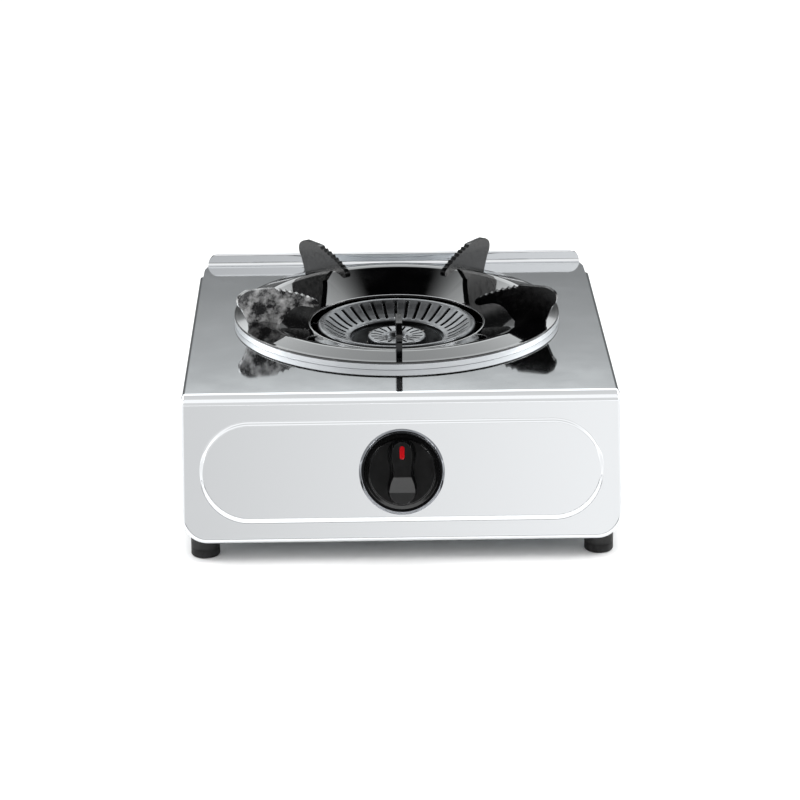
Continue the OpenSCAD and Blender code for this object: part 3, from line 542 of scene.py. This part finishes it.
bpy.ops.mesh.fill(use_beauty=True)
bpy.ops.object.mode_set(mode="OBJECT")
if max(field.data.polygons, key=lambda f: f.area).normal.z < 0:
    edit(field, whole=True)
    bpy.ops.mesh.flip_normals()
    bpy.ops.object.mode_set(mode="OBJECT")
print("normals up:", sum(f.normal.z > 0 for f in field.data.polygons), "of", len(field.data.polygons))
add_modifier(field, "SOLIDIFY", thickness=SHEET, offset=-1)
place(field, Matrix.Translation(KNOB + UPSLOPE * FIELD_CENTRE) @ AXIS.to_3x3().to_4x4())
print("field is", [round(d / MM, 1) for d in field.dimensions], "mm")

# %% The recess, and the casing joined and finished
dish = lathe("dish", [(114, 111.15), (114, 111.95), (111.4, 111.95, 3), (78, 95, 5), (54, 95), (54, 94.2),
                      (78.4, 94.2, 5), (111.6, 111.15, 3)], steps=144)
place(dish, Matrix.Translation(BURNER))
join(casing, field, dish)
shade(casing, 25)
add_modifier(casing, "WEIGHTED_NORMAL", keep_sharp=True, weight=80)
dress(casing, "mirror polished stainless steel")
fit(casing, "casing", "stainless_sheet", "top_panel")
print("casing faces:", len(casing.data.polygons), "size", [round(d / MM, 1) for d in casing.dimensions])

# %% [markdown]
# ## The drip ring
#
# The ring is spun from one sheet. It rises gently from a thin rim to a crest, and its inner slope
# falls straight to a small rolled lip round the hole. Five slots take the fingers' tabs, and a
# bright band under the rim carries the ring on the plate.

# %% The ring
ring = lathe("ring", [
    (65.0, 107.6, 0.8), (65.0, 109.1, 0.7), (66.6, 108.9, 1), (101.5, 120.7, 8), (106, 121.5, 9),
    (119.6, 118.3, 4), (122.2, 117.9, 0.5), (122.2, 115.9, 0.5), (119.4, 116.3, 1), (106, 120.2, 8),
    (101.7, 119.4, 7), (66.4, 107.5)], steps=192, step=3)
tabs = []
for k in range(5):
    bpy.ops.mesh.primitive_cube_add(size=1)
    tab = bpy.context.object
    tab.scale = (9.4 * MM, 4.6 * MM, 30 * MM)
    tabs.append(tab)
    place(tab, Matrix.Rotation(math.radians(72 * k - 90), 4, "Z")
          @ Matrix.Translation((103.5 * MM, 0, 120 * MM)) @ Matrix.Diagonal(tuple(tab.scale) + (1,)))
cut(ring, join(*tabs))
place(ring, Matrix.Translation(BURNER))
shade(ring, 40)
dress(ring, "black vitreous enamel")
fit(ring, "pan_support", "black_enamel", "drip_ring")
print("ring size", [round(d / MM, 1) for d in ring.dimensions])

# %% The bright band under the ring's rim
band = lathe("ring_band", [
    (116.6, 114.9), (116.6, 112.05, 1), (122.1, 112.05, 0.3), (122.1, 116.2), (121.1, 116.2),
    (121.1, 113.1, 1), (117.6, 113.1, 1), (117.6, 114.9)], steps=192)
place(band, Matrix.Translation(BURNER))
shade(band, 40)
dress(band, "bright steel band")
fit(band, "pan_support", "stainless_sheet")
print("band height", round(band.dimensions.z / MM, 2))

# %% [markdown]
# ## The fingers
#
# Each finger is a thick steel pressing. It has a flat land for the pan, a slope with small teeth
# that grip a narrow pot, and an arch that keeps it clear of the flame. One finger is modelled,
# its edges are rounded as enamel rounds them, and it is copied five times.

# %% One finger
finger = plate("finger", [
    (121.5, 132, 3), (119, 126.5), (115.8, 118.6), (112, 119.2), (109, 119.8), (108, 120), (108, 115),
    (99, 115), (99, 119.2), (95.5, 117.8), (93, 117.6, 1), (91, 119.5, 3), (88.5, 122.8, 4), (85, 127, 5),
    (81, 129.6, 5), (76, 130.3, 6), (70, 129), (65.5, 127.5, 2.2), (61.8, 128.4, 2), (61.8, 132, 2.4),
    (71, 137.4, 6), (81, 141.4, 8), (90, 144.2, 8), (97, 146, 12), (110, 146, 8), (117.5, 146, 9),
    (124.6, 141.5, 6), (124.2, 135, 5)], 4.4, step=9)
teeth = []
for k in range(7):
    along = k / 6
    bpy.ops.mesh.primitive_cylinder_add(vertices=32, radius=2.1 * MM, depth=12 * MM, location=(
        (66 + 27 * along) * MM, (136.3 + 10.9 * math.sin(math.radians(60 * along))) * MM, 2 * MM))
    teeth.append(bpy.context.object)
cut(finger, join(*teeth))
soften(finger, 0.9, 4, 40)
shade(finger, 35)
add_modifier(finger, "WEIGHTED_NORMAL", keep_sharp=True, weight=60)
upright = Matrix.Translation((0, 2.2 * MM, 0)) @ Matrix.Rotation(math.pi / 2, 4, "X")
place(finger, upright)
dress(finger, "worn black enamel on fingers")
fingers = [finger] + [copy(finger, "finger_%d" % (k + 1)) for k in range(1, 5)]
finger.name = finger.data.name = "finger_1"
for k, piece in enumerate(fingers):
    place(piece, Matrix.Translation(BURNER) @ Matrix.Rotation(math.radians(72 * k - 90), 4, "Z"))
    fit(piece, "pan_support", "black_enamel", "pan_finger_%d" % (k + 1))
# one finger gets the black enamel with the painted pale reflection of the plate's light
dress(fingers[4], "black enamel with painted pale reflection")
print("finger 1 spans", [round(d / MM, 1) for d in finger.dimensions])

# %% [markdown]
# ## The burner's crown and cap
#
# Both are turned from castings, and then a saw cuts the flame slots. The crown is a funnel with a
# rounded rim, so the flames lean inwards, and the cap has a dish in its middle.

# %% Slots and the two rings of flame
def slots(count, width, inner, outer, low, high, shift=0.0):
    blades = []
    for k in range(count):
        bpy.ops.mesh.primitive_cube_add(size=1)
        blade = bpy.context.object
        place(blade, Matrix.Rotation((k + shift) * 2 * math.pi / count, 4, "Z")
              @ Matrix.Translation(((inner + outer) / 2 * MM, 0, (low + high) / 2 * MM))
              @ Matrix.Diagonal(((outer - inner) * MM, width * MM, (high - low) * MM, 1)))
        blades.append(blade)
    return join(*blades)


crown = lathe("crown", [
    (35.4, 94.2), (35.4, 97.4, 0.7), (36.6, 98.1), (40, 98.9, 6), (44, 100.6, 8), (48, 103, 8),
    (52.5, 106.2, 6), (56, 108.4, 3), (59.7, 108.4, 2), (59.7, 104, 2), (56, 98.5), (52, 94.2), (50.2, 94.2),
    (50.2, 95.6), (53, 98.5), (56, 103.4), (55, 104.4), (52.5, 103.6), (49, 101.2), (45, 98.6), (41, 96.6),
    (37.6, 95.6), (37.6, 94.2)], steps=144)
cut(crown, slots(36, 2.3, 39, 54.4, 90, 120))
soften(crown, 0.25, 2, 50)
place(crown, Matrix.Translation(BURNER))
shade(crown, 40)
dress(crown, "machined aluminium burner alloy")
fit(crown, "outer_crown", "burner_alloy", "outer_crown")

cap = lathe("cap", [
    (5, 92.1), (5, 94.0), (7.4, 94.0, 1), (8.8, 96.8, 1), (11, 97.6, 4), (15, 98.2, 6), (19.5, 98.5, 4),
    (22.1, 98.2, 1.6), (22.1, 88), (19.35, 88), (19.35, 92.1)], steps=120)
cut(cap, slots(18, 1.7, 11.5, 19.7, 94.6, 104, 0.5))
bpy.ops.mesh.primitive_cylinder_add(vertices=48, radius=5.2 * MM, depth=1.9 * MM, location=(0, 0, 93.05 * MM))
pip = bpy.context.object
join(cap, pip)
soften(cap, 0.25, 2, 50)
place(cap, Matrix.Translation(BURNER))
shade(cap, 40)
dress(cap, "machined aluminium burner alloy")
fit(cap, "inner_cap", "burner_alloy", "inner_cap")
for piece in (crown, cap):
    print(piece.name, [round(d / MM, 1) for d in piece.dimensions])

# %% [markdown]
# ## The bezel and the knob
#
# The bezel is a plated ring that hides the hole in the fascia. The knob has a satin disc and a
# waisted grip with drafted sides. The grip's lower end is cut away in a slope and a small pad, so
# a thumb can press it, and a red pill on its top shows where it points.

# %% The bezel
bezel = lathe("bezel", [(9, -6), (28, -6), (28, 1.5), (30, 1.5), (30, 5.4, 1.6), (28.4, 9.5, 0.8),
                        (27.1, 9.5, 0.5), (27.1, -5.1), (9, -5.1)], steps=144)
place(bezel, AXIS)
shade(bezel, 30)
dress(bezel, "dark chrome plate")
fit(bezel, "casing", "chrome_bezel", "knob_bezel")

# %% The knob
skirt = lathe("skirt", [(7, 8.5), (7, 10.2), (0.5, 10.2), (0.5, 11), (22.9, 11, 0.5), (23.5, 9.2, 0.7),
                        (26.5, 8.6, 1), (26.5, 1.2), (24.6, 1.2), (24.2, 7), (20, 8.5)], steps=144)
grip = plate("grip", [
    (-9.9, 23.0, 9.6), (9.9, 23.0, 9.6), (10.1, 9, 14), (7.4, 0.5, 20), (10.3, -9, 14), (10.1, -23.0, 9.9),
    (-10.1, -23.0, 9.9), (-10.3, -9, 14), (-7.4, 0.5, 20), (-10.1, 9, 14)], 12, step=8)
edit(grip, "VERT")
select(grip, "VERT", lambda v: v.co.z > 6 * MM)
bpy.ops.transform.resize(value=(0.7, 0.9, 1), center_override=(0, 1.2 * MM, 12 * MM))
bpy.ops.object.mode_set(mode="OBJECT")
wedge = plate("wedge", [(-3.4, 14), (-3.4, 12.2), (-14.0, 4.2, 2.5), (-26, 2.9), (-26, 14)], 30, step=8)
place(wedge, Matrix(((0, 0, 1, -15 * MM), (1, 0, 0, 0), (0, 1, 0, 0), (0, 0, 0, 1))))
outwards(wedge)
cut(grip, wedge)
soften(grip, 0.8, 4, 30)
place(grip, Matrix.Translation((0, 0, 10.98 * MM)))
PILL_AT = 13.4 * MM
mouth = plate("mouth", rounded(1.75, 4.6, 1.7), 3, step=12)
place(mouth, Matrix.Translation((0, PILL_AT, 22.2 * MM)))
cut(grip, mouth)
knob = join(skirt, grip)
knob.name = knob.data.name = "knob_cap"
shade(knob, 32)
add_modifier(knob, "WEIGHTED_NORMAL", keep_sharp=True, weight=60)
dress(knob, "polished black ABS", "textured black ABS")
for face in knob.data.polygons:
    height = face.center.z / MM
    if face.normal.z > 0.96 and height > 10.5:
        face.material_index = 1
place(knob, AXIS)
fit(knob, "knob", "black_knob", "knob")

pill = plate("pointer", rounded(1.7, 4.55, 1.68), 0.9, step=10)
soften(pill, 0.25, 3, 40)
place(pill, AXIS @ Matrix.Translation((0, PILL_AT, 22.22 * MM)))
shade(pill)
dress(pill, "red acrylic inlay")
fit(pill, "knob", "red_mark", "knob_pointer")
front_y = min(v.co.y for v in knob.data.vertices)
print("knob faces:", len(knob.data.polygons), "front at y", round(front_y / MM, 2))

# %% [markdown]
# ## Feet and hose tail
#
# The feet are moulded rubber: slightly tapered, with a soft lower edge and a shallow groove where
# the mould closes. The hose tail is turned brass, and its barbs hold a rubber hose.

# %% The feet
foot = lathe("foot", [(4.9, 0), (10.2, 0, 1.6), (10.15, 6), (9.95, 6.35), (10.15, 6.7),
                      (10.1, 21.95, 0.6), (2.1, 21.95), (2.1, 11), (4.9, 11)], steps=72)
shade(foot, 30)
dress(foot, "moulded black rubber")
places = [("front_left_foot", -1), ("front_right_foot", 1), ("rear_left_foot", -1), ("rear_right_foot", 1)]
feet = [foot] + [copy(foot, "foot_%d" % k) for k in (2, 3, 4)]
foot.name = foot.data.name = "foot_1"
for piece, (node, side) in zip(feet, places):
    low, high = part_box(node)
    place(piece, Matrix.Translation(((low.x + high.x) / 2, (low.y + high.y) / 2, 0)))
    fit(piece, "casing", "black_rubber", node)

# %% The hose tail
tail_low, tail_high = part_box("hose_spigot")
length = (tail_high.y - tail_low.y) / MM
barbs = []
for k in range(3):
    start = 5.2 + k * 4.3
    barbs += [(4.2, start), (5.0, start + 0.5), (4.15, start + 3.9)]
tail = lathe("hose_tail", [(3, 1.8), (6, 1.8), (6, 0), (7.2, 0), (7.2, 4), (4.4, 4)] + barbs
             + [(4.2, length - 0.3), (3.9, length), (3, length)], steps=72)
bpy.ops.mesh.primitive_cylinder_add(vertices=6, radius=8.5 * MM, depth=3.9 * MM, location=(0, 0, 1.97 * MM))
nut = bpy.context.object
bpy.ops.mesh.primitive_cylinder_add(vertices=48, radius=6.2 * MM, depth=12 * MM)
cut(nut, bpy.context.object)
soften(nut, 0.3, 2, 40)
join(tail, nut)
place(tail, Matrix.Translation(((tail_low.x + tail_high.x) / 2, tail_low.y, (tail_low.z + tail_high.z) / 2))
      @ Matrix.Rotation(-math.pi / 2, 4, "X"))
shade(tail, 35)
dress(tail, "turned brass")
fit(tail, "casing", "brass", "hose_spigot")
print("tail length", round(length, 1))

# %% [markdown]
# ## The hidden parts
#
# The tap, the igniter, the pipes and the side walls keep their exact shapes. Each takes the
# finish its record names, so a turned or lifted view shows brass as brass and zinc as zinc.

# %% Finishes for the parts that keep their shape
BY_SLOT = {
    "stainless_sheet": "mirror polished stainless steel", "galvanised_steel": "zinc plated steel",
    "burner_alloy": "sand cast aluminium", "brass": "turned brass", "spring_steel": "zinc plated steel",
    "igniter_plastic": "moulded grey nylon", "cam_plastic": "moulded ivory nylon",
    "lead_sleeve": "red silicone sleeve", "white_ceramic": "glazed steatite ceramic",
    "probe_steel": "heat tinted probe steel", "copper": "drawn copper tube",
    "black_rubber": "moulded black rubber", "black_enamel": "black vitreous enamel",
    "chrome_bezel": "dark chrome plate", "black_knob": "polished black ABS", "red_mark": "red acrylic inlay"}
slot_of = {part["node"]: part["material_slot"] for part in frame["record"]["subparts"]}
for node, piece in frame["nodes"].items():
    dress(piece, BY_SLOT[slot_of[node]])
print("finished nodes:", len(frame["nodes"]))

# %% [markdown]
# ## The table, the light and the camera
#
# A polished object is mostly a picture of its surroundings, so the light is built for what the
# surfaces face. The plate sees a narrow band low behind the stove, which grades from dark to
# bright. Overhead it is dark, which keeps the enamel black. The steel sees its own white cards in
# front, above and at the sides, and the table, the burner and one finger have lights of their own.

# %% The table
bpy.ops.mesh.primitive_circle_add(vertices=96, radius=9, fill_type="NGON", location=(0, 0, 0))
table = bpy.context.object
table.name = table.data.name = "table"
finish("matt white table", "#f2f2f2", 0.6, spread=0.05, patch=60)
dress(table, "matt white table")

# %% The surroundings
world = bpy.data.worlds.new("studio")
bpy.context.scene.world = world
world.use_nodes = True
sky = world.node_tree
sky.nodes.clear()
way = add(sky, "TexCoord")
parts = add(sky, "SeparateXYZ", None, {"Vector": way.outputs["Generated"]})
tilt = add(sky, "Math", {"operation": "ARCSINE"}, {"Value": parts.outputs["Z"]})
degrees = add(sky, "Math", {"operation": "MULTIPLY"}, {"Value": tilt.outputs["Value"]})
degrees.inputs[1].default_value = 180 / math.pi
behind = add(sky, "MapRange", {"From Min": 0.0, "From Max": 90.0}, {"Value": degrees.outputs["Value"]})
rear = add(sky, "ValToRGB", None, {"Fac": behind.outputs["Result"]})
stops = [(0, 0.20), (15.5, 0.17), (17.0, 0.29), (19.4, 0.62), (20.6, 1.6), (24, 2.2), (36, 1.7), (45, 1.3),
         (51, 0.0), (90, 0.0)]
for k, (angle, level) in enumerate(stops):
    stop = rear.color_ramp.elements[k] if k < 2 else rear.color_ramp.elements.new(angle / 90)
    stop.position = angle / 90
    stop.color = (level * 0.97, level, level * 1.01, 1)
front = add(sky, "MapRange", {"From Min": 0.0, "From Max": 12.0, "To Min": 0.25, "To Max": 0.06},
            {"Value": degrees.outputs["Value"]})
facing = add(sky, "MapRange", {"From Min": -0.35, "From Max": 0.35}, {"Value": parts.outputs["Y"]})
both = add(sky, "Mix", {"data_type": "RGBA"}, {"Factor": facing.outputs["Result"]})
sky.links.new(front.outputs["Result"], both.inputs[6])
sky.links.new(rear.outputs["Color"], both.inputs[7])
glow = add(sky, "Background", {"Strength": 1.0}, {"Color": both.outputs[2]})
add(sky, "OutputWorld", None, {"Surface": glow.outputs["Background"]})


# %% The softboxes
def softbox(name, size, brightness, at, look, receivers=None):
    """A rectangular light whose face has a given brightness. It may light only some of the pieces."""
    bpy.ops.object.light_add(type="AREA", location=at)
    light = bpy.context.object
    light.name = name
    light.data.shape = "RECTANGLE"
    light.data.size, light.data.size_y = size
    light.data.energy = brightness * math.pi * size[0] * size[1]
    light.rotation_euler = (Vector(look) - Vector(at)).to_track_quat("-Z", "Y").to_euler()
    if receivers:
        group = bpy.data.collections.new(name + " lights")
        for piece in receivers:
            group.objects.link(piece)
        light.light_linking.receiver_collection = group
    return light


side_panels = [frame["nodes"][n] for n in ("left_side_panel", "right_side_panel", "rear_panel")]
steel_parts = [casing, band] + side_panels
softbox("table light", (3.2, 3.2), 3.0, (0, -0.2, 2.4), (0, 0, 0), [table])
softbox("front table light", (3, 2), 2.4, (0, -2.4, 1.3), (0, -0.2, 0), [table])
softbox("ceiling card", (11, 11), 0.95, (0, 0, 3), (0, 0, 0), steel_parts)
softbox("overhead strip", (7, 1.2), 0.45, (0, -1.0, 2.2), (0, -0.1, 0.1), steel_parts)
softbox("left wall card", (8.6, 3), 1.3, (-5, -0.7, 1.4), (0, -0.7, 0.1), steel_parts)
softbox("right wall card", (8.6, 3), 1.3, (5, -0.7, 1.4), (0, -0.7, 0.1), steel_parts)
softbox("burner card", (3, 3), 0.55, (-0.6, 1.4, 1.6), BURNER, [crown, cap])
softbox("finger light", (1, 1), 9, (-0.4, -1.6, 1.2), BURNER, [fingers[4]])
front_card = softbox("front card", (10, 2.1), 1.0, (0, -5, 1.75), (0, -0.15, 0.08), steel_parts)
front_card.data.use_nodes = True
lamp = front_card.data.node_tree
emitter = lamp.nodes["Emission"]
face = add(lamp, "NewGeometry")
split = add(lamp, "SeparateXYZ", None, {"Vector": face.outputs["Parametric"]})
blend = add(lamp, "MapRange", {"From Min": 0.458, "From Max": 0.556, "To Min": 0.9, "To Max": 1.25},
            {"Value": split.outputs["X"]})
lamp.links.new(blend.outputs["Result"], emitter.inputs["Strength"])
softbox("left strip", (0.25, 0.9), 14, (-1.5, 0.5, 1.2), (0, 0, 0.1))
softbox("right strip", (0.25, 0.9), 14, (1.5, 0.4, 1.3), (0, 0, 0.1))

# %% The camera
elevation, azimuth, roll, distance = 19.69, -0.85, -0.47, 2223.9 * MM
target = Vector((1.99 * MM, BURNER.y, 45.58 * MM))
bpy.ops.object.camera_add()
camera = bpy.context.object
e, a = math.radians(elevation), math.radians(azimuth)
ahead = Vector((-math.sin(a) * math.cos(e), math.cos(a) * math.cos(e), -math.sin(e)))
side = Vector((math.cos(a), math.sin(a), 0))
aim = Matrix((side, side.cross(ahead), -ahead)).transposed().to_4x4()
camera.matrix_world = (Matrix.Translation(target - ahead * distance) @ aim
                       @ Matrix.Rotation(math.radians(roll), 4, "Z"))
camera.data.lens = 131.2
camera.data.sensor_width = 36
camera.data.clip_end = 50
bpy.context.scene.camera = camera
bpy.context.scene.view_settings.view_transform = "Standard"
